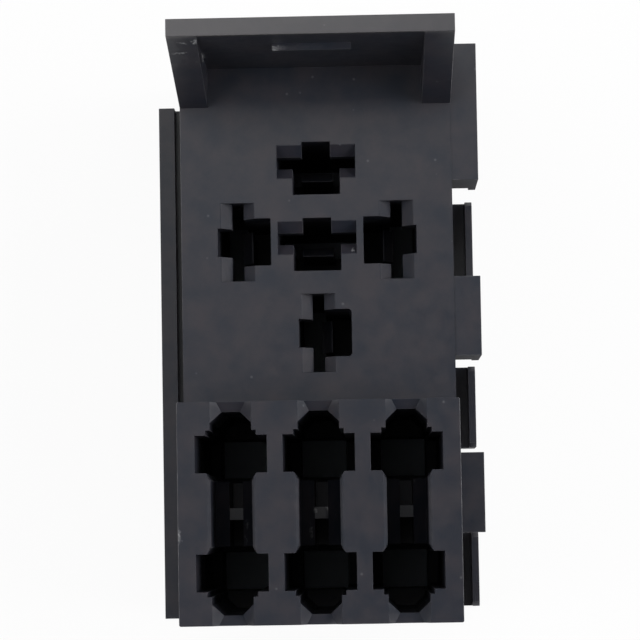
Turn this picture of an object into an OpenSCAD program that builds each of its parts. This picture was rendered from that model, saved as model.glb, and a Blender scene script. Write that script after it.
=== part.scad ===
// Moulded holder for one plug-in relay and three blade fuses.
// It lies on its rear rim: +Z is the way the relay and the fuses pull out, and +Y points to the hood end.

/* [Body] */
// Width of the body, across the fuse columns
body_w = 28.7; // [28:0.1:32]
// Length of the body, from the hood end to the fuse end
body_l = 60.75; // [60:0.05:70]
// Depth of the body, from the rear rim to the relay deck
body_d = 23; // [21:0.5:28]
// Thickness of the relay deck
deck_t = 3; // [2:0.1:4]
// Thickness of the outer walls behind the deck
wall_t = 1.8; // [1.2:0.1:2.2]
// Thickness of the rear ribs and of the walls round the relay chambers
rib_t = 1.2; // [0.8:0.1:1.4]
// Distance between the rear ribs
rib_pitch = 6.2; // [5:0.1:7]
// Radius of the upright corners
corner_r = 0.2; // [0.2:0.1:1]

/* [Hood] */
// Height of the hood above the relay deck
hood_h = 17.6; // [12:0.1:24]
// Thickness of the hood at the deck
hood_t = 2.2; // [1.6:0.05:2.5]
// Draft of the hood's outer face, from the deck to the front edge
hood_draft = 0.45; // [0:0.05:0.6]
// Thickness of each gusset
gusset_t = 3; // [1.5:0.1:4]
// Length of each gusset's foot on the deck
gusset_foot = 4.15; // [3:0.05:5]
// Length of the retaining bead under the hood
bead_l = 8; // [4:0.5:14]
// Reach of the retaining bead from the hood
bead_reach = 0.65; // [0.4:0.05:1.2]
// Rise of the bead's sloped front face
bead_rise = 0.5; // [0.2:0.05:0.8]
// Depth of the retaining bead at the hood
bead_d = 1.5; // [1:0.1:2]
// Height of the retaining bead above the deck
bead_h = 12.3; // [8:0.1:15]

/* [Relay sockets] */
// Distance from the hood end to the middle slot
middle_slot_y = 20.4; // [20:0.1:20.7]
// Distance between the two coil slots
coil_pitch = 16.8; // [16.6:0.1:17.2]
// Offset of the coil slots from the middle slot
coil_offset = 0.35; // [0:0.05:0.8]
// Distance from the middle slot to the upper slot
upper_pitch = 8.1; // [7.8:0.1:8.4]
// Distance from the middle slot to the lower slot
lower_pitch = 10.1; // [9.8:0.1:10.4]
// Length of a blade slit
slit_l = 8.3; // [7.8:0.1:8.4]
// Width of a blade slit
slit_w = 1.25; // [1:0.05:1.6]
// Depth of the lead-in along both edges of a slit
lead_in = 1.15; // [0.6:0.05:1.4]
// Width of the narrow core opening
narrow_w = 3; // [2.4:0.1:3.6]
// Reach of the narrow core opening from the blade plane
narrow_reach = 2.1; // [1.9:0.05:2.3]
// Width of the wide core opening
wide_w = 5; // [4.4:0.1:5.4]
// Reach of the wide core opening from the blade plane
wide_reach = 3.5; // [3.2:0.05:3.6]
// Corner radius of the wide core openings
core_r = 0.12; // [0.05:0.01:0.3]
// Corner radius of the wide core opening of the lower slot
lower_core_r = 0.4; // [0.1:0.05:0.6]

/* [Locking fingers] */
// Thickness of a locking finger
finger_t = 0.8; // [0.6:0.05:1]
// Width of a locking finger
finger_w = 3.4; // [3:0.1:4.2]
// Depth of a finger's tip below the deck
finger_tip = 5.6; // [4.5:0.1:8]
// Free length of a locking finger
finger_l = 9; // [6:0.1:11]
// Reach of a finger's nose into the chamber
nose_reach = 0.35; // [0.2:0.05:0.5]
// Distance from a finger's tip to its nose
nose_drop = 1.2; // [0.6:0.1:2]
// Width of the flat that is left on a finger's sloped tip
tip_land = 0.15; // [0.1:0.05:0.3]

/* [Fuse block] */
// Height of the fuse block above the relay deck
fuse_rise = 10.1; // [8:0.1:16]
// Length of the fuse block
fuse_l = 22.65; // [22.2:0.05:24]
// Distance between fuse columns
fuse_pitch = 8.9; // [8.4:0.1:9.2]
// Distance between the two chambers of one fuse
chamber_pitch = 12; // [11.6:0.1:12.2]
// Width of a terminal chamber, across the blade
chamber_w = 7.3; // [6.6:0.1:7.6]
// Length of a terminal chamber, along the blade
chamber_l = 3.8; // [3.4:0.1:4.2]
// Width of the notch outside each chamber
notch_w = 5.1; // [4.8:0.1:5.4]
// Length of the notch outside each chamber
notch_l = 0.5; // [0.4:0.05:0.8]
// Length of the sloped corners inside each chamber
corner_l = 0.7; // [0.4:0.05:1]
// Height of the locking shoulder above the rear rim
shoulder_h = 6.3; // [4:0.1:10]

/* [Fuse seats] */
// Length of a fuse seat
seat_l = 20.6; // [20:0.1:21]
// Width of a fuse seat
seat_w = 4.2; // [4.1:0.05:4.6]
// Width of a seat at its narrowed ends
seat_end_w = 1.9; // [1.6:0.1:2.6]
// Depth of a fuse seat
seat_d = 8; // [6:0.1:9]
// Depth of the sloped lead-in at the end of a seat
lead_d = 1.2; // [1:0.05:1.5]
// Depth of the sloped lead-in where it leaves the fuse block
lead_edge_d = 0.65; // [0.4:0.05:0.9]
// Width of the slit for a fuse blade
blade_w = 1.4; // [1:0.05:1.8]
// Depth of the blade slit below the seat
blade_d = 8.5; // [7:0.1:10]
// Length of the web between the two blade slits
web_l = 1.3; // [0.8:0.1:2]

/* [Joining channel] */
// Reach of the hooks beyond the body
hook_reach = 2.8; // [2.4:0.05:3.6]
// Thickness of the hooks' lips
lip_t = 0.8; // [0.6:0.05:1.1]
// Depth of the front hooks
front_hook_d = 6.7; // [4:0.1:8]
// Depth of the rear hooks
rear_hook_d = 3.4; // [2:0.1:4.5]
// Depth of the lips beyond their hooks
lip_d = 1.9; // [1:0.1:2.4]
// Step from the deck down to the front hooks
hook_step = 0.12; // [0.05:0.01:0.3]
// Length of the first front hook, at the hood end
first_hook_l = 14.55; // [8:0.05:20]
// Distance from one rear hook to the next
hook_pitch = 18.6; // [14:0.1:24]
// Distance from the start of a rear hook to the next front hook
rear_hook_l = 10.2; // [8:0.05:12]
// Gap between the end of a rear hook and the next front hook
hook_gap = 1.1; // [0.4:0.1:1.5]
// Distance from the fuse end to the last rear hook
last_hook_end = 0.75; // [0.2:0.05:2]
// Length of the lead-in chamfer on the lips' ends
lip_chamfer = 0.5; // [0.2:0.1:0.8]

/* [Joining rail] */
// Clearance of the rail in the next holder's channel
slide_gap = 0.3; // [0.1:0.05:0.5]
// Distance from the hood end to the end of the rail
rail_start = 5.1; // [0:0.1:10]
// Distance from the fuse end to the other end of the rail
rail_end = 0.25; // [0:0.05:2]

/* [Hidden] */
$fn = 48;
// Overlap of cuts and joins beyond the faces they meet
eps = 0.05;
plastic = [0.25, 0.25, 0.27];

// Planes of the body
hood_end = body_l / 2;
fuse_end = -body_l / 2;
fuse_front = body_d + fuse_rise;
fuse_mid = fuse_end + fuse_l / 2;

// Place, turn and core radius of each relay socket, whose wide core opening faces -Y before it is turned
middle_y = hood_end - middle_slot_y;
coil_y = middle_y - coil_offset;
sockets = [
    [0, middle_y + upper_pitch, 0, core_r],
    [0, middle_y, 0, core_r],
    [-coil_pitch / 2, coil_y, 90, core_r],
    [coil_pitch / 2, coil_y, -90, core_r],
    [0, middle_y - lower_pitch, 90, lower_core_r],
];
slit_edge = slit_w / 2;

// Inside of the joining channel, which the rail fits
channel_z = [rear_hook_d, body_d - front_hook_d];
channel_gap_z = [rear_hook_d + lip_d, body_d - front_hook_d - lip_d];
flange_t = hook_reach - lip_t - slide_gap;
front_wall_z = [body_d - hook_step, channel_z[1]];
rear_wall_z = [0, channel_z[0]];

module rounded_rect(size, r) {
    square([size.x - 2 * r, size.y], center = true);
    square([size.x, size.y - 2 * r], center = true);
    for (sx = [-1, 1], sy = [-1, 1])
        translate([sx * (size.x / 2 - r), sy * (size.y / 2 - r)])
            circle(r = r);
}

// A rectangle between two corners
module span(low, high) {
    translate(low)
        square(high - low);
}

// A profile drawn in X and Z, drawn out along Y between two stations
module along_y(from, to) {
    translate([0, to, 0])
        rotate([90, 0, 0])
            linear_extrude(to - from)
                children();
}

// A profile drawn in Y and Z, drawn out along X over a length about the middle
module along_x(length) {
    translate([-length / 2, 0, 0])
        rotate([90, 0, 90])
            linear_extrude(length)
                children();
}

module at_sockets() {
    for (s = sockets) {
        $corner = s[3];
        translate([s.x, s.y])
            rotate(s.z)
                children();
    }
}

// Body block with the raised fuse block
module blocks() {
    linear_extrude(body_d)
        rounded_rect([body_w, body_l], corner_r);
    translate([0, fuse_mid, 0])
        linear_extrude(fuse_front)
            rounded_rect([body_w, fuse_l], corner_r);
}

// Hood with its gussets and the bead that holds the relay back
module hood() {
    hood_inner = hood_end - hood_t;
    along_x(body_w)
        polygon([
            [hood_inner, body_d - deck_t],
            [hood_end, body_d - deck_t],
            [hood_end, body_d],
            [hood_end - hood_draft, body_d + hood_h],
            [hood_inner, body_d + hood_h],
        ]);
    for (side = [-1, 1])
        translate([side * (body_w - gusset_t) / 2, 0, 0])
            along_x(gusset_t)
                polygon([
                    [hood_inner - gusset_foot, body_d - eps],
                    [hood_inner + eps, body_d - eps],
                    [hood_inner + eps, body_d + hood_h],
                    [hood_inner, body_d + hood_h],
                    [hood_inner - gusset_foot, body_d],
                ]);
    translate([0, hood_inner, body_d + bead_h])
        along_x(bead_l)
            polygon([
                [eps, -bead_d / 2],
                [eps, bead_d / 2],
                [0, bead_d / 2],
                [-bead_reach, bead_d / 2 - bead_rise],
                [-bead_reach, 0],
                [0, -bead_d / 2],
            ]);
}

// T-shaped rail, the counterpart of the channel
module rail() {
    tip = -body_w / 2 - hook_reach;
    along_y(fuse_end + rail_end, hood_end - rail_start) {
        span([tip, channel_z[0] + slide_gap], [tip + flange_t, channel_z[1] - slide_gap]);
        span([tip + eps, channel_gap_z[0] + slide_gap], [-body_w / 2 + eps, channel_gap_z[1] - slide_gap]);
    }
}

// One hook between two stations, as a wall with a lip that points along the depth
module hook(from, to, wall_z, lip_z) {
    root = body_w / 2 - eps;
    tip = body_w / 2 + hook_reach;
    along_y(from, to)
        span([root, min(wall_z)], [tip, max(wall_z)]);
    translate([tip - lip_t, 0, 0])
        rotate([90, 0, 90])
            linear_extrude(lip_t)
                polygon([
                    [from, wall_z[0]],
                    [to, wall_z[0]],
                    [to, lip_z - sign(lip_z - wall_z[0]) * lip_chamfer],
                    [to - lip_chamfer, lip_z],
                    [from + lip_chamfer, lip_z],
                    [from, lip_z - sign(lip_z - wall_z[0]) * lip_chamfer],
                ]);
}

// Front and rear hooks in turn, so that each is moulded without a slide
module channel() {
    front_hook_l = hook_pitch - rear_hook_l;
    hook(hood_end - first_hook_l, hood_end, front_wall_z, channel_gap_z[1]);
    // a hook is left out where less than half of it fits on the body
    for (start = [first_hook_l : hook_pitch : body_l - rear_hook_l / 2])
        hook(
            max(hood_end - start - rear_hook_l + hook_gap, fuse_end + last_hook_end),
            hood_end - start,
            rear_wall_z,
            channel_gap_z[0]
        );
    for (start = [first_hook_l + rear_hook_l : hook_pitch : body_l - front_hook_l / 2])
        hook(max(hood_end - start - front_hook_l, fuse_end), hood_end - start, front_wall_z, channel_gap_z[1]);
}

// Outer walls of one relay chamber and its core openings
module chamber_walls() {
    span([-slit_l / 2 - rib_t, -wide_reach - rib_t], [slit_l / 2 + rib_t, narrow_reach + rib_t]);
}

// Hollows above and below the row of coil chambers, open at the rear and crossed by ribs
module rear_hollow() {
    inner_x = body_w / 2 - wall_t;
    coil_half = slit_l / 2 + rib_t;
    rib_count = floor(inner_x / rib_pitch + 0.5);
    translate([0, 0, -eps])
        linear_extrude(body_d - deck_t + eps)
            difference() {
                union() {
                    span([-inner_x, coil_y + coil_half], [inner_x, hood_end - wall_t]);
                    span([-inner_x, sockets[4].y - coil_half], [inner_x, coil_y - coil_half]);
                }
                at_sockets()
                    chamber_walls();
                for (i = [0.5 - rib_count : 1 : rib_count - 0.5])
                    translate([i * rib_pitch, 0])
                        square([rib_t, body_l], center = true);
            }
}

// Finger that locks a terminal, standing free in the wide core opening
module finger() {
    face = -slit_edge;
    along_x(finger_w)
        polygon([
            [face - finger_t, -finger_tip - finger_l - eps],
            [face, -finger_tip - finger_l - eps],
            [face, -finger_tip - nose_drop - 4 * nose_reach],
            [face + nose_reach, -finger_tip - nose_drop - nose_reach],
            [face, -finger_tip - nose_drop],
            [face - finger_t + tip_land, -finger_tip],
            [face - finger_t, -finger_tip],
        ]);
}

// Wide core opening, with its two far corners rounded
module wide_core() {
    span([-wide_w / 2, $corner - wide_reach], [wide_w / 2, 0]);
    span([$corner - wide_w / 2, -wide_reach], [wide_w / 2 - $corner, 0]);
    for (side = [-1, 1])
        translate([side * (wide_w / 2 - $corner), $corner - wide_reach])
            circle(r = $corner);
}

// Everything cut for one relay blade, with the deck at Z 0
module relay_socket() {
    // lead-in and slit
    along_x(slit_l)
        polygon([
            [-slit_edge - lead_in - eps, eps],
            [slit_edge + lead_in + eps, eps],
            [slit_edge, -lead_in],
            [slit_edge, -deck_t - eps],
            [-slit_edge, -deck_t - eps],
            [-slit_edge, -lead_in],
        ]);
    difference() {
        union() {
            // terminal chamber, open at the rear
            translate([0, 0, -body_d - eps])
                linear_extrude(body_d - deck_t + eps)
                    span([-slit_l / 2, -slit_edge], [slit_l / 2, narrow_reach]);
            // narrow core opening
            translate([0, 0, -body_d - eps])
                linear_extrude(body_d + 2 * eps)
                    span([-narrow_w / 2, 0], [narrow_w / 2, narrow_reach]);
            // wide core opening down to the finger's root
            translate([0, 0, -finger_tip - finger_l])
                linear_extrude(finger_tip + finger_l + eps)
                    wide_core();
        }
        finger();
    }
}

// Outline of one fuse terminal chamber, with the outside of the fuse at +Y
module fuse_chamber_outline() {
    polygon([
        [-seat_w / 2, -chamber_l / 2 - corner_l],
        [seat_w / 2, -chamber_l / 2 - corner_l],
        [notch_w / 2, -chamber_l / 2],
        [chamber_w / 2, -chamber_l / 2],
        [chamber_w / 2, chamber_l / 2],
        [notch_w / 2, chamber_l / 2],
        [notch_w / 2, chamber_l / 2 + notch_l],
        [-notch_w / 2, chamber_l / 2 + notch_l],
        [-notch_w / 2, chamber_l / 2],
        [-chamber_w / 2, chamber_l / 2],
        [-chamber_w / 2, -chamber_l / 2],
        [-notch_w / 2, -chamber_l / 2],
    ]);
}

// Outline of half a fuse seat with its narrowed end, from a station on
module seat_outline(from) {
    side_run = (seat_w - seat_end_w) / 2;
    polygon([
        [-seat_w / 2, from],
        [seat_w / 2, from],
        [seat_w / 2, seat_l / 2 - side_run],
        [seat_end_w / 2, seat_l / 2],
        [-seat_end_w / 2, seat_l / 2],
        [-seat_w / 2, seat_l / 2 - side_run],
    ]);
}

// Sloped lead-in at one end of a fuse seat, from the block's end face to the narrowed end
module seat_lead_in() {
    side_run = (seat_w - seat_end_w) / 2;
    end_run = (fuse_l - seat_l) / 2;
    inner = seat_l / 2 - side_run;
    outer = fuse_l / 2 + eps;
    slope = (lead_d - lead_edge_d) / end_run;
    intersection() {
        along_y(inner, outer)
            polygon([
                [-seat_w / 2, eps],
                [seat_w / 2, eps],
                [seat_w / 2, 0],
                [seat_end_w / 2, -lead_d],
                [-seat_end_w / 2, -lead_d],
                [-seat_w / 2, 0],
            ]);
        along_x(seat_w)
            polygon([
                [inner, eps],
                [outer, eps],
                [outer, -lead_edge_d + slope * eps],
                [seat_l / 2, -lead_d],
                [inner, -lead_d],
            ]);
    }
}

// One half of a fuse column, with the block's front at Z 0 and the middle of the fuse at Y 0
module fuse_half() {
    row = chamber_pitch / 2;
    floor_run = (seat_w - blade_w) / 2;
    translate([0, 0, -seat_d])
        linear_extrude(seat_d + eps)
            seat_outline(-eps);
    seat_lead_in();
    // sloped floor that guides the blades
    along_y(-eps, row)
        polygon([
            [-seat_w / 2, -seat_d + eps],
            [seat_w / 2, -seat_d + eps],
            [seat_w / 2, -seat_d],
            [blade_w / 2, -seat_d - floor_run],
            [-blade_w / 2, -seat_d - floor_run],
            [-seat_w / 2, -seat_d],
        ]);
    // slit for one blade, up to the web
    along_y(web_l / 2, row)
        span([-blade_w / 2, -seat_d - blade_d], [blade_w / 2, -seat_d - floor_run + eps]);
    // chamber and the seat's narrowed end, down to the locking shoulder
    translate([0, 0, shoulder_h - fuse_front])
        linear_extrude(fuse_front - shoulder_h + eps) {
            translate([0, row])
                fuse_chamber_outline();
            seat_outline(row);
        }
    // way in from the rear, narrower than the chamber
    translate([0, row, -fuse_front - eps])
        linear_extrude(shoulder_h + 2 * eps)
            span([-notch_w / 2, -chamber_l / 2], [notch_w / 2, chamber_l / 2 + notch_l]);
}

// Pocket at the rear between the two chambers of a fuse
module fuse_pocket() {
    pocket_l = chamber_pitch - chamber_l - 2 * corner_l - 2 * rib_t;
    translate([-chamber_w / 2, -pocket_l / 2, -eps])
        cube([chamber_w, pocket_l, fuse_front - seat_d - blade_d - deck_t + eps]);
}

module fuse_column() {
    translate([0, 0, fuse_front]) {
        fuse_half();
        mirror([0, 1, 0])
            fuse_half();
    }
    fuse_pocket();
}

module housing() {
    color(plastic)
        difference() {
            union() {
                blocks();
                hood();
                rail();
                channel();
            }
            rear_hollow();
            translate([0, 0, body_d])
                at_sockets()
                    relay_socket();
            for (i = [-1 : 1])
                translate([i * fuse_pitch, fuse_mid, 0])
                    fuse_column();
        }
}

housing();
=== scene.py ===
import math

import bmesh
import bpy
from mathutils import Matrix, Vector


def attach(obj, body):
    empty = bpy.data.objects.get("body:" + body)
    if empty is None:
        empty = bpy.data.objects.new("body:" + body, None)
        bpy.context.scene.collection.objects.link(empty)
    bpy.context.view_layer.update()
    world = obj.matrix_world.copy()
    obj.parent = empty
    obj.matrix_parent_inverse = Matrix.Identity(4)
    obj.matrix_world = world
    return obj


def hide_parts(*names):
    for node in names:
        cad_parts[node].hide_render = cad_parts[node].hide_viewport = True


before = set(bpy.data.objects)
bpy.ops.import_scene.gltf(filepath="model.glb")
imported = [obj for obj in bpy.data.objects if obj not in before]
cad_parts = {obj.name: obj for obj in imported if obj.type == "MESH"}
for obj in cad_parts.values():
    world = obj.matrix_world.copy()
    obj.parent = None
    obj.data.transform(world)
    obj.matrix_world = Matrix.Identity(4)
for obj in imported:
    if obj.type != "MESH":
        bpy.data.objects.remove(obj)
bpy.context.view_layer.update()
scene = bpy.context.scene
mm = 0.001
print("stage: frame loaded")


def activate(obj):
    # only this object is selected, ready for an operator
    if bpy.context.mode != "OBJECT":
        bpy.ops.object.mode_set(mode="OBJECT")
    bpy.ops.object.select_all(action="DESELECT")
    obj.select_set(True)
    bpy.context.view_layer.objects.active = obj


def applyModifiers(obj):
    activate(obj)
    for modifier in list(obj.modifiers):
        bpy.ops.object.modifier_apply(modifier=modifier.name)


def addNode(tree, kind, x, y, **settings):
    made = tree.nodes.new(kind)
    made.location = (x, y)
    for name, value in settings.items():
        setattr(made, name, value)
    return made


def setInputs(made, **values):
    # socket names are written without spaces here
    sockets = {s.name.replace(" ", ""): s for s in reversed(made.inputs)}
    for name, value in values.items():
        sockets[name].default_value = value


def addMath(tree, operation, x, y, first, second):
    # a plain number goes on the socket, an output is linked
    made = addNode(tree, "ShaderNodeMath", x, y, operation=operation)
    for socket, value in zip(made.inputs, (first, second)):
        if isinstance(value, (int, float)):
            socket.default_value = value
        else:
            tree.links.new(value, socket)
    return made.outputs[0]


def addColourMix(tree, x, y, factor, first, second):
    made = addNode(tree, "ShaderNodeMix", x, y, data_type="RGBA")
    sockets = [made.inputs["Factor"]] + [s for s in made.inputs if s.type == "RGBA"]
    for socket, value in zip(sockets, (factor, first, second)):
        if isinstance(value, tuple):
            socket.default_value = value
        else:
            tree.links.new(value, socket)
    return [s for s in made.outputs if s.type == "RGBA"][0]


def addNoise(tree, x, y, place, scale, detail=3, roughness=0.6):
    made = addNode(tree, "ShaderNodeTexNoise", x, y)
    setInputs(made, Scale=scale, Detail=detail, Roughness=roughness)
    tree.links.new(place, made.inputs["Vector"])
    return made.outputs["Fac"]


def addRange(tree, x, y, value, fromMin, fromMax, toMin, toMax):
    made = addNode(tree, "ShaderNodeMapRange", x, y)
    setInputs(made, FromMin=fromMin, FromMax=fromMax, ToMin=toMin, ToMax=toMax)
    tree.links.new(value, made.inputs["Value"])
    return made.outputs["Result"]


# Moulded housing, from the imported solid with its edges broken

housingShape = {
    "mergeDistance": 0.002 * mm,
    "flatAngle": 0.4,  # degrees, faces closer than this become one
    "cuts": ((0, 0.37 * mm), (1, 10.4 * mm), (2, 19.6 * mm)),  # axis and place, each through openings
    "sharpAngle": 32,  # degrees, edges sharper than this are broken
    "edgeRadius": 0.05 * mm,
    "edgeSegments": 3,
    "cleanDistance": 0.001 * mm,
    "seatRimRadius": 0.38 * mm,  # the fuse seats' long front edges are rounded
    "seatPitch": 8.9 * mm,
    "seatHalf": 2.1 * mm,
    "seatMiddle": -19.05 * mm,
    "seatReach": 3.7 * mm,
    "frontZ": 33.1 * mm,
    "near": 0.05 * mm,
    "ledge": (14.1 * mm, 30.1 * mm, 20.0 * mm),  # under the hood's corners, too small to break
    "rimX": 13.6 * mm,  # edges further out than this are handled and rub most, and get the strongest painted edge highlight
    "rimY": (-7.4 * mm, -6.4 * mm),  # the fuse block's upper edge
    "rimZ": 32.9 * mm,
    "hookX": 14.2 * mm,  # from here on the hooks shelter the deck's edge
    "hookZ": (22.9 * mm, 23.1 * mm),
    "endFacing": -0.9,  # the normal of a hook's end has less Y than this
    "endDull": 1.3,  # roughness of the hooks' ends, as a share of the cored faces'
    "innerWear": 0.1,
    "innerDull": 1.55,  # roughness of the inner edges, as a share of the cored faces'
    "deepZ": 20.5 * mm,  # inside below this the mould's cores leave a rougher face without wear
    "insideX": 13.6 * mm,
    "insideY": 29.6 * mm,
}


def mergeFlat(shape):
    bmesh.ops.dissolve_limit(shape, angle_limit=math.radians(housingShape["flatAngle"]), verts=shape.verts[:],
                             edges=shape.edges[:], delimit={"SEAM"})


def nearSeatRim(place, reach):
    # within reach of a long front edge of a fuse seat, between its two blades
    pitch = housingShape["seatPitch"]
    fromColumn = abs(place.x - pitch * round(place.x / pitch))
    aside = abs(fromColumn - housingShape["seatHalf"])
    below = abs(place.z - housingShape["frontZ"])
    return max(aside, below) < reach and abs(place.y - housingShape["seatMiddle"]) < housingShape["seatReach"]


def isLedge(edge):
    x, y, z = housingShape["ledge"]
    near = housingShape["near"]
    return all(abs(v.co.x) > x and v.co.y > y and abs(v.co.z - z) < near for v in edge.verts)


def cutFaces(shape):
    # the cuts cross edges in mid-length, so no flat face has a hole that the bevel would fold
    for axis, place in housingShape["cuts"]:
        across = Vector((0, 0, 0))
        across[axis] = 1
        parts = shape.verts[:] + shape.edges[:] + shape.faces[:]
        made = bmesh.ops.bisect_plane(shape, geom=parts, plane_co=across * place, plane_no=across)
        for item in made["geom_cut"]:
            if isinstance(item, bmesh.types.BMEdge):
                item.seam = True


def weighEdges(shape):
    # outward edges are weighted for the bevel, inner corners stay sharp
    weight = shape.edges.layers.float.new("bevel_weight_edge")
    sharpAngle = math.radians(housingShape["sharpAngle"])
    smallShare = housingShape["edgeRadius"] / housingShape["seatRimRadius"]
    for edge in shape.edges:
        if isLedge(edge) or len(edge.link_faces) != 2:
            continue
        if edge.is_convex and edge.calc_face_angle() > sharpAngle:
            atRim = all(nearSeatRim(v.co, housingShape["near"]) for v in edge.verts)
            edge[weight] = 1.0 if atRim else smallShare
    print("stage: rounded seat edges", sum(edge[weight] == 1.0 for edge in shape.edges))


def breakEdges(piece):
    bevel = piece.modifiers.new("brokenEdges", "BEVEL")
    bevel.limit_method = "WEIGHT"
    bevel.width = housingShape["seatRimRadius"]
    bevel.segments = housingShape["edgeSegments"]
    bevel.use_clamp_overlap = False
    bevel.miter_outer = "MITER_SHARP"
    bevel.material = 1  # marks the bevel's faces until markFaces reads them
    piece.data.materials.append(None)
    piece.data.materials.append(None)
    applyModifiers(piece)
    shape = bmesh.new()
    shape.from_mesh(piece.data)
    bmesh.ops.remove_doubles(shape, verts=shape.verts[:], dist=housingShape["cleanDistance"])
    bmesh.ops.dissolve_degenerate(shape, dist=housingShape["cleanDistance"], edges=shape.edges[:])
    shape.to_mesh(piece.data)
    shape.free()


def smoothShading(piece):
    activate(piece)
    bpy.ops.object.shade_smooth_by_angle(angle=math.radians(housingShape["sharpAngle"]))
    even = piece.modifiers.new("evenShading", "WEIGHTED_NORMAL")
    even.keep_sharp = True
    applyModifiers(piece)


def markFaces(piece):
    # the bevel's faces carry the edge wear and a painted edge highlight, most of it on the outer edges
    wearAndHighlight = []
    cored = []
    lowY, highY = housingShape["rimY"]
    lowZ, highZ = housingShape["hookZ"]
    for face in piece.data.polygons:
        x, y, z = face.center
        byHooks = x > housingShape["hookX"]
        rim = abs(x) > housingShape["rimX"] or (lowY < y < highY and z > housingShape["rimZ"])
        rim = rim and not (byHooks and lowZ < z < highZ)
        deep = z < housingShape["deepZ"]
        inside = abs(x) < housingShape["insideX"] and abs(y) < housingShape["insideY"]
        broken = face.material_index == 1
        share = 1.0 if rim else 0.0 if deep else housingShape["innerWear"]
        wearAndHighlight.append(share if broken else 0.0)
        dull = 1.0 if deep and inside else 0.0
        if broken and not rim:
            dull = housingShape["innerDull"]
        elif byHooks and not broken and face.normal.y < housingShape["endFacing"]:
            dull = housingShape["endDull"]
        cored.append(dull)
        face.material_index = 0
    piece.data.materials.clear()
    for name, values in (("edgeWearAndHighlight", wearAndHighlight), ("cored", cored)):
        piece.data.attributes.new(name, "FLOAT", "FACE").data.foreach_set("value", values)


def makeHousing():
    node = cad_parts["housing"]
    piece = bpy.data.objects.new("mouldedHousing", node.data.copy())
    scene.collection.objects.link(piece)
    piece.data.materials.clear()
    activate(piece)
    bpy.ops.mesh.customdata_custom_splitnormals_clear()
    shape = bmesh.new()
    shape.from_mesh(piece.data)
    bmesh.ops.remove_doubles(shape, verts=shape.verts[:], dist=housingShape["mergeDistance"])
    mergeFlat(shape)
    cutFaces(shape)
    mergeFlat(shape)
    weighEdges(shape)
    shape.to_mesh(piece.data)
    shape.free()
    breakEdges(piece)
    smoothShading(piece)
    markFaces(piece)
    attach(piece, "root")
    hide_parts("housing")
    return piece


# Satin black moulded plastic

plasticLook = {
    "coolTone": (0.0128, 0.0163, 0.0258, 1),
    "warmTone": (0.0288, 0.0264, 0.0330, 1),
    "toneEnds": (0.35, 0.65),  # noise levels of the pure cool and the pure warm tone
    # pale tone of the edge wear, which is partly a painted edge highlight
    "wornTone": (0.105, 0.106, 0.112, 1),
    "wornCloud": (0.40, 0.68),  # noise levels between which the edge wear and painted edge highlight set in
    "wornShare": 0.75,
    # paler tone for the painted highlight on the hood's front rim
    "rubbedTone": (0.082, 0.079, 0.083, 1),
    "rubbedCloud": (0.3, 0.7),
    "rubbedShare": (0.85, 1.0),
    # pale tone for scuffs and painted glints
    "scuffTone": (0.34, 0.345, 0.355, 1),
    "scuffFade": (0.4, 1.0),  # shares of a mark's reach where it starts to fade and where it ends
    "scratchScale": 4200,
    "scratchEnds": (0.35, 0.65),
    "scratchShare": (0.35, 1.0),
    "mottleScale": 300,
    "cloudScale": 900,
    "grainScale": 8500,
    "fleckScale": 700,
    "fleckReach": (0.05, 0.13),
    "fleckLimit": 0.8,  # only cells whose random value is higher have a fleck
    "fleckShare": 0.16,
    "raggedScale": 2600,
    "raggedReach": 0.9 * mm,
    "roughLow": 0.285,  # the denoiser leaves dark specks under 0.28
    "roughHigh": 0.36,
    "roughCloud": (0.3, 0.7),
    "roughEdge": 0.5,
    "leastWear": 0.01,  # faces with more wear and painted highlight than this are broken edges
    "roughCore": 0.62,
    "grainBump": 0.2,
    "grainDepth": 0.02 * mm,
    "density": 1.58,  # index of refraction
}

# painted highlight: the hood's front rim is painted paler, most at its left end
hoodPaintedSheen = {
    "level": (39.9 * mm, 40.45 * mm),
    "ends": (-14 * mm, 16 * mm),
    "share": (1.0, 0.55),
}

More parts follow.
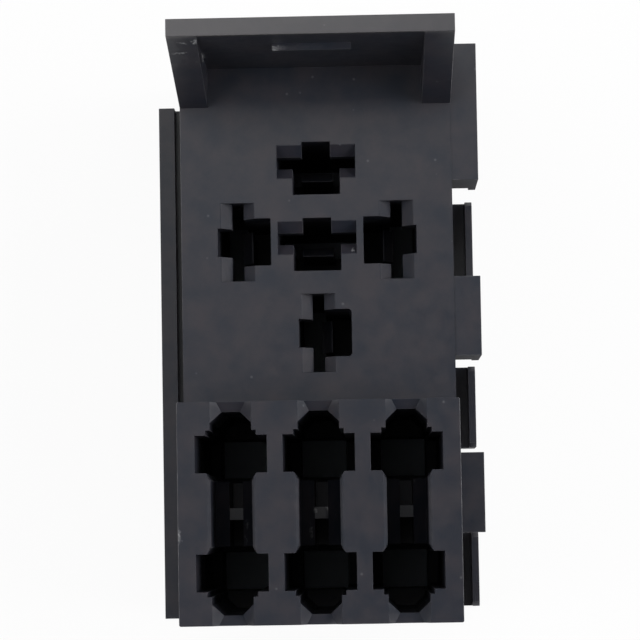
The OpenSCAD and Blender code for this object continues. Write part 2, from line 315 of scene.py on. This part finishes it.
# rubbed places and painted glints: middle and half lengths in mm, turn about Y in degrees, strength
scuffAndHighlightMarks = (
    {"at": (-12.95, 27.8, 38.95), "reach": (0.60, 0.5, 0.18), "turn": 18, "strength": 0.9},
    {"at": (-13.45, 27.3, 36.60), "reach": (0.75, 0.5, 0.20), "turn": -6, "strength": 0.8},
    {"at": (-12.85, 27.3, 36.70), "reach": (0.28, 0.5, 0.24), "turn": 0, "strength": 0.85},
    {"at": (-11.50, 27.9, 39.20), "reach": (0.36, 0.7, 0.75), "turn": 10, "strength": 1.0},
    {"at": (-11.35, 27.95, 30.3), "reach": (0.42, 0.5, 1.70), "turn": 0, "strength": 1.0},
    # painted highlight on the hood's inner bead: pale specks at its left end and a faint lift along it
    {"at": (-3.65, 27.6, 35.80), "reach": (0.55, 0.5, 0.45), "turn": 0, "strength": 0.8},
    {"at": (-2.90, 27.6, 35.85), "reach": (0.70, 0.5, 0.40), "turn": 0, "strength": 0.2},
    {"at": (-0.60, 27.6, 35.85), "reach": (3.40, 0.5, 0.40), "turn": 0, "strength": 0.06},
    # painted glints on the fuse seats' slit edges and web corners
    {"at": (-7.75, -20.2, 24.15), "reach": (0.16, 0.6, 0.30), "turn": 0, "strength": 0.45},
    {"at": (-7.95, -21.8, 23.95), "reach": (0.16, 0.6, 0.30), "turn": 0, "strength": 0.35},
    {"at": (-1.12, -21.0, 24.12), "reach": (0.16, 1.0, 0.30), "turn": 0, "strength": 0.45},
    {"at": (-0.72, -18.8, 23.72), "reach": (0.32, 0.3, 0.30), "turn": 0, "strength": 0.7},
    {"at": (-9.45, -18.2, 23.75), "reach": (0.25, 0.2, 0.30), "turn": 0, "strength": 0.5},
    {"at": (-8.50, -18.2, 23.75), "reach": (0.25, 0.2, 0.30), "turn": 0, "strength": 0.5},
    {"at": (3.75, 8.7, 22.50), "reach": (0.14, 0.5, 0.40), "turn": 0, "strength": 0.8},
    {"at": (-14.25, -21.4, 33.00), "reach": (0.24, 1.0, 0.30), "turn": 0, "strength": 0.6},
)


def addPatches(tree, mottle):
    # bluish and brownish patches
    tone = addNode(tree, "ShaderNodeValToRGB", -650, 300)
    tints = (plasticLook["coolTone"], plasticLook["warmTone"])
    for stop, level, tint in zip(tone.color_ramp.elements, plasticLook["toneEnds"], tints):
        stop.position = level
        stop.color = tint
    tree.links.new(mottle, tone.inputs["Fac"])
    return tone.outputs["Color"]


# painted highlight band on the hood's front rim, weaker toward its right end
def addHoodPaintedSheen(tree, place, mottle):
    sides = addNode(tree, "ShaderNodeSeparateXYZ", -1250, 450)
    tree.links.new(place, sides.inputs[0])
    high = addRange(tree, -1050, 500, sides.outputs["Z"], *hoodPaintedSheen["level"], 0.0, 1.0)
    along = addRange(tree, -1050, 400, sides.outputs["X"], *hoodPaintedSheen["ends"], *hoodPaintedSheen["share"])
    rim = addMath(tree, "MULTIPLY", -650, 450, high, along)
    cloudy = addRange(tree, -650, 160, mottle, *plasticLook["rubbedCloud"], *plasticLook["rubbedShare"])
    return addMath(tree, "MULTIPLY", -420, 420, rim, cloudy)


def addScuffsAndHighlights(tree, place):
    # the marks' outlines are ragged, because noise pushes each point aside
    link = tree.links.new
    ragged = addNode(tree, "ShaderNodeTexNoise", -1900, 900)
    setInputs(ragged, Scale=plasticLook["raggedScale"], Detail=2)
    link(place, ragged.inputs["Vector"])
    centred = addNode(tree, "ShaderNodeVectorMath", -1700, 900, operation="SUBTRACT")
    centred.inputs[1].default_value = (0.5, 0.5, 0.5)
    link(ragged.outputs["Color"], centred.inputs[0])
    pushed = addNode(tree, "ShaderNodeVectorMath", -1500, 900, operation="MULTIPLY_ADD")
    pushed.inputs[1].default_value = [plasticLook["raggedReach"]] * 3
    link(centred.outputs[0], pushed.inputs[0])
    link(place, pushed.inputs[2])
    rubbedAndHighlights = None
    for row, mark in enumerate(scuffAndHighlightMarks):
        y = 900 + 220 * row
        spot = addNode(tree, "ShaderNodeMapping", -1250, y, vector_type="TEXTURE")
        setInputs(spot, Location=[v * mm for v in mark["at"]], Scale=[v * mm for v in mark["reach"]],
                  Rotation=(0, math.radians(mark["turn"]), 0))
        link(pushed.outputs[0], spot.inputs["Vector"])
        far = addNode(tree, "ShaderNodeVectorMath", -1050, y, operation="LENGTH")
        link(spot.outputs[0], far.inputs[0])
        faded = addRange(tree, -850, y, far.outputs["Value"], *plasticLook["scuffFade"],
                         mark["strength"], 0.0)
        rubbedAndHighlights = faded if rubbedAndHighlights is None else addMath(tree, "MAXIMUM", -600, y, rubbedAndHighlights, faded)
    scratchy = addNoise(tree, -1250, 700, place, plasticLook["scratchScale"], detail=2)
    uneven = addRange(tree, -600, 760, scratchy, *plasticLook["scratchEnds"], *plasticLook["scratchShare"])
    return addMath(tree, "MULTIPLY", -350, 800, rubbedAndHighlights, uneven)


def addFlecks(tree, place):
    # sparse pale flecks of dust
    dust = addNode(tree, "ShaderNodeTexVoronoi", -1250, -600)
    setInputs(dust, Scale=plasticLook["fleckScale"])
    tree.links.new(place, dust.inputs["Vector"])
    near = addRange(tree, -1000, -600, dust.outputs["Distance"], *plasticLook["fleckReach"],
                    plasticLook["fleckShare"], 0.0)
    shade = addNode(tree, "ShaderNodeSeparateColor", -1000, -750)
    tree.links.new(dust.outputs["Color"], shade.inputs[0])
    few = addMath(tree, "GREATER_THAN", -800, -750, shade.outputs[0], plasticLook["fleckLimit"])
    return addMath(tree, "MULTIPLY", -600, -650, near, few)


def addRoughness(tree, cloud, wearAndHighlight):
    # broken edges and the mould's cores are duller than the rest
    rough = addRange(tree, -420, -150, cloud, *plasticLook["roughCloud"],
                     plasticLook["roughLow"], plasticLook["roughHigh"])
    broken = addMath(tree, "GREATER_THAN", -420, -300, wearAndHighlight, plasticLook["leastWear"])
    dull = addMath(tree, "MULTIPLY", -200, -300, broken, plasticLook["roughEdge"])
    rough = addMath(tree, "MAXIMUM", 0, -150, rough, dull)
    core = addNode(tree, "ShaderNodeAttribute", -420, -450, attribute_name="cored")
    coarse = addMath(tree, "MULTIPLY", -200, -450, core.outputs["Fac"], plasticLook["roughCore"])
    return addMath(tree, "MAXIMUM", 200, -150, rough, coarse)


def addGrain(tree, place):
    grain = addNoise(tree, -900, -350, place, plasticLook["grainScale"], detail=2, roughness=0.5)
    bump = addNode(tree, "ShaderNodeBump", 200, -350)
    setInputs(bump, Strength=plasticLook["grainBump"], Distance=plasticLook["grainDepth"])
    tree.links.new(grain, bump.inputs["Height"])
    return bump.outputs["Normal"]


def makePlastic():
    material = bpy.data.materials.new("mouldedBlackPlastic")
    material.use_nodes = True
    tree = material.node_tree
    tree.nodes.clear()
    link = tree.links.new
    output = addNode(tree, "ShaderNodeOutputMaterial", 900, 0)
    shader = addNode(tree, "ShaderNodeBsdfPrincipled", 600, 0)
    setInputs(shader, IOR=plasticLook["density"])
    link(shader.outputs[0], output.inputs[0])
    place = addNode(tree, "ShaderNodeTexCoord", -1500, 0).outputs["Object"]
    mottle = addNoise(tree, -900, 300, place, plasticLook["mottleScale"], detail=6, roughness=0.65)
    cloud = addNoise(tree, -900, 0, place, plasticLook["cloudScale"])
    wearAndHighlight = addNode(tree, "ShaderNodeAttribute", -900, 650, attribute_name="edgeWearAndHighlight").outputs["Fac"]

    # each layer of colour covers part of the one before
    patchy = addRange(tree, -650, 60, cloud, *plasticLook["wornCloud"], 0.0, plasticLook["wornShare"])
    edge = addMath(tree, "MULTIPLY", -420, 500, wearAndHighlight, patchy)
    rim = addHoodPaintedSheen(tree, place, mottle)
    marksAndHighlights = addMath(tree, "MAXIMUM", -150, 700, addScuffsAndHighlights(tree, place), addFlecks(tree, place))
    # edge wear and painted edge highlight pale the broken edges in patches
    colour = addColourMix(tree, -150, 300, edge, addPatches(tree, mottle), plasticLook["wornTone"])
    # painted highlight: the hood's front rim is mixed toward a paler tone
    colour = addColourMix(tree, 0, 300, rim, colour, plasticLook["rubbedTone"])
    # scuffs, dust flecks and painted glints are mixed toward a pale tone
    colour = addColourMix(tree, 200, 300, marksAndHighlights, colour, plasticLook["scuffTone"])
    link(colour, shader.inputs["Base Color"])
    link(addRoughness(tree, cloud, wearAndHighlight), shader.inputs["Roughness"])
    link(addGrain(tree, place), shader.inputs["Normal"])
    return material


housing = makeHousing()
housing.data.materials.append(makePlastic())
print("stage: housing", len(housing.data.polygons), "faces")


# White studio floor, with painted shade where the housing stands on it

floorLook = {
    "side": 3.0,
    "tone": (0.93, 0.93, 0.93, 1),
    # bluish grey for the painted shade under the housing
    "underTone": (0.52, 0.57, 0.62, 1),
    "halfX": 14.0 * mm,
    "halfY": 30.0 * mm,
    "roughness": 0.8,
    "lift": 0.93,  # share of plain white that the camera sees outside the footprint
}


def seenRay(tree, x, y):
    # 1 for rays from the camera, and for those that a mirror or glass sends on
    ray = addNode(tree, "ShaderNodeLightPath", x, y)
    first = addMath(tree, "MAXIMUM", x + 200, y, ray.outputs["Is Camera Ray"], ray.outputs["Is Glossy Ray"])
    return addMath(tree, "MAXIMUM", x + 400, y, first, ray.outputs["Is Transmission Ray"])


def makeFloor():
    activate(housing)
    bpy.ops.object.select_all(action="DESELECT")
    bpy.ops.mesh.primitive_plane_add(size=floorLook["side"], location=(0, 0, 0))
    floor = bpy.context.active_object
    floor.name = "studioFloor"
    material = bpy.data.materials.new("whiteFloor")
    material.use_nodes = True
    tree = material.node_tree
    link = tree.links.new
    shader = tree.nodes["Principled BSDF"]
    output = tree.nodes["Material Output"]
    setInputs(shader, Roughness=floorLook["roughness"])
    place = addNode(tree, "ShaderNodeTexCoord", -1200, 200)
    sides = addNode(tree, "ShaderNodeSeparateXYZ", -1000, 200)
    link(place.outputs["Object"], sides.inputs[0])
    inside = None
    for axis, half in (("X", floorLook["halfX"]), ("Y", floorLook["halfY"])):
        away = addMath(tree, "ABSOLUTE", -800, 200, sides.outputs[axis], 0.0)
        near = addMath(tree, "LESS_THAN", -600, 200, away, half)
        inside = near if inside is None else addMath(tree, "MULTIPLY", -400, 200, inside, near)
    # painted shade: inside the footprint the floor takes a darker bluish tone
    tone = addColourMix(tree, -200, 200, inside, floorLook["tone"], floorLook["underTone"])
    link(tone, shader.inputs["Base Color"])
    outside = addMath(tree, "SUBTRACT", -200, -200, 1.0, inside)
    shown = addMath(tree, "MULTIPLY", 0, -200, seenRay(tree, -800, -300), outside)
    lifted = addMath(tree, "MULTIPLY", 200, -200, shown, floorLook["lift"])
    white = addNode(tree, "ShaderNodeEmission", 0, -400)
    mixed = addNode(tree, "ShaderNodeMixShader", 400, 0)
    link(lifted, mixed.inputs[0])
    link(shader.outputs[0], mixed.inputs[1])
    link(white.outputs[0], mixed.inputs[2])
    link(mixed.outputs[0], output.inputs[0])
    floor.data.materials.append(material)


makeFloor()


# Soft studio light, mostly from above the hood and from the right

lamps = {
    "hoodHigh": {"place": (0.0, 0.25, 0.6), "size": 0.22, "watts": 0.27},
    "hoodHighLeft": {"place": (-0.1, 0.25, 0.6), "size": 0.22, "watts": 0.095},
    "softRight": {"place": (0.5, 0.0, 0.35), "size": 0.35, "watts": 2.85},
    "rightHood": {"place": (0.4, 0.3, 0.4), "size": 0.3, "watts": 0.76},
    "rightFuse": {"place": (0.4, -0.3, 0.4), "size": 0.3, "watts": 0.32},
    "softLeft": {"place": (-0.5, 0.0, 0.35), "size": 0.35, "watts": 0.87},
    "leftHood": {"place": (-0.4, 0.3, 0.4), "size": 0.3, "watts": 0.56},
    "leftNear": {"place": (-0.22, -0.05, 0.25), "size": 0.2, "watts": 0.26},
    "overhead": {"place": (-0.1, 0.03, 0.7), "size": 0.25, "watts": 0.06},
}
studioLook = {
    "lampAim": Vector((0, 0, 0.02)),
    "skyStrength": 0.06,
    "wallSeen": (0.2, 0.35),  # sines of the elevations between which the white wall ends
    "wallMirrored": (0.0, 0.12),  # reflections see only its foot, so slopes stay dark
}


def makeLamps():
    for name, look in lamps.items():
        bpy.ops.object.select_all(action="DESELECT")
        bpy.ops.object.light_add(type="AREA", location=look["place"])
        lamp = bpy.context.active_object
        lamp.name = name
        lamp.data.shape = "SQUARE"
        lamp.data.size = look["size"]
        lamp.data.energy = look["watts"]
        lamp.rotation_euler = (studioLook["lampAim"] - lamp.location).to_track_quat("-Z", "Y").to_euler()
    world = bpy.data.worlds.new("studioSky")
    world.use_nodes = True
    tree = world.node_tree
    sky = tree.nodes["Background"]
    setInputs(sky, Color=(1, 1, 1, 1))
    place = addNode(tree, "ShaderNodeTexCoord", -1200, 0)
    sides = addNode(tree, "ShaderNodeSeparateXYZ", -1000, 0)
    tree.links.new(place.outputs["Generated"], sides.inputs[0])
    ray = addNode(tree, "ShaderNodeLightPath", -1000, -300)
    bent = addMath(tree, "MAXIMUM", -800, -400, ray.outputs["Is Glossy Ray"],
                   ray.outputs["Is Transmission Ray"])
    direct = ray.outputs["Is Camera Ray"]
    shown = None
    for seen, ends in ((direct, studioLook["wallSeen"]), (bent, studioLook["wallMirrored"])):
        wall = addRange(tree, -800, 0, sides.outputs["Z"], *ends, 1.0, 0.0)
        part = addMath(tree, "MULTIPLY", -600, 0, wall, seen)
        shown = part if shown is None else addMath(tree, "MAXIMUM", -400, 0, shown, part)
    level = addMath(tree, "MAXIMUM", -200, 0, shown, studioLook["skyStrength"])
    tree.links.new(level, sky.inputs["Strength"])
    scene.world = world


makeLamps()
scene.view_settings.view_transform = "Standard"
print("stage: floor and lamps")


# Camera at the photograph's place

cameraLook = {
    "place": (5.148 * mm, -21.0 * mm, 281.559 * mm),
    "turn": (0.0595263, 0.0208504, -0.0168958),
    "lens": 138.46,
    "shiftX": 0.0005,
    "shiftY": 0.0996,
    "sensor": 36,
    "clipStart": 10 * mm,
}
bpy.ops.object.select_all(action="DESELECT")
bpy.ops.object.camera_add(location=cameraLook["place"], rotation=cameraLook["turn"])
camera = bpy.context.active_object
camera.name = "photoCamera"
camera.data.sensor_width = cameraLook["sensor"]
camera.data.lens = cameraLook["lens"]
camera.data.shift_x = cameraLook["shiftX"]
camera.data.shift_y = cameraLook["shiftY"]
camera.data.clip_start = cameraLook["clipStart"]
scene.camera = camera
print("stage: camera")
